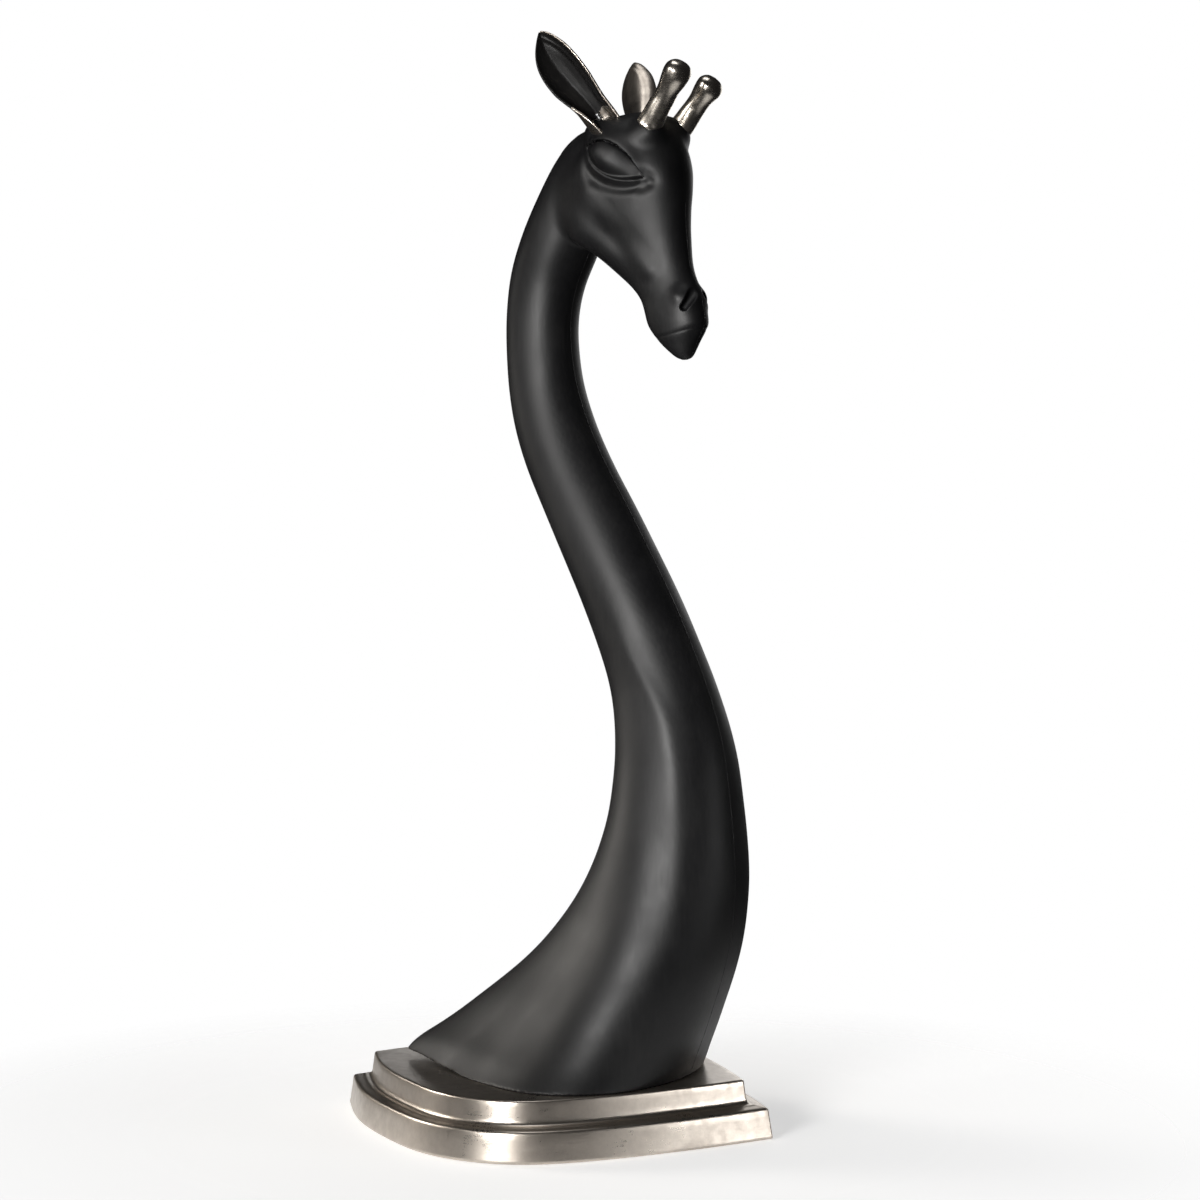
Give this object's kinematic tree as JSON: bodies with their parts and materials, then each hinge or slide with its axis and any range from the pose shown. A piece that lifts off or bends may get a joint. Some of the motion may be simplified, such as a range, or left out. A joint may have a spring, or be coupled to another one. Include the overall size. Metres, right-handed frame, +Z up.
{
  "type": "carved giraffe statue",
  "caption": "Tall giraffe bust: S-curved black carved neck and head with cupped metal ears and short round-ended horns, standing on a stepped leaf-shaped metal plinth.",
  "frame": {"origin": "centre of the underside, on the surface the felt pads rest on", "axes": "+X towards the plinth's front corner (the way the chest faces), +Y towards the giraffe's left, +Z up"},
  "size_m": [0.4034, 0.3512, 0.9441],
  "materials": {
    "black_wood": "satin black stain and wax over fine grain",
    "bare_wood": "bare",
    "plated_casting": "warm satin nickel plating over a sand casting",
    "polished_nickel": "polished warm nickel plating, lightly hammered",
    "steel": "zinc plated",
    "brass": "machined",
    "felt": "pressed felt"
  },
  "bodies": {
    "root": {"base_plinth": "plated_casting", "ear_right": "plated_casting", "ear_left": "plated_casting", "horn_right": "polished_nickel", "horn_left": "polished_nickel", "body_right_half": "black_wood", "body_left_half": "black_wood", "seam_dowels": "bare_wood", "ear_studs": "steel", "horn_studs": "steel", "base_bolts": "steel", "base_washers": "steel", "threaded_inserts": "brass", "locating_pins": "steel", "felt_pads": "felt"}
  },
  "joints": []
}
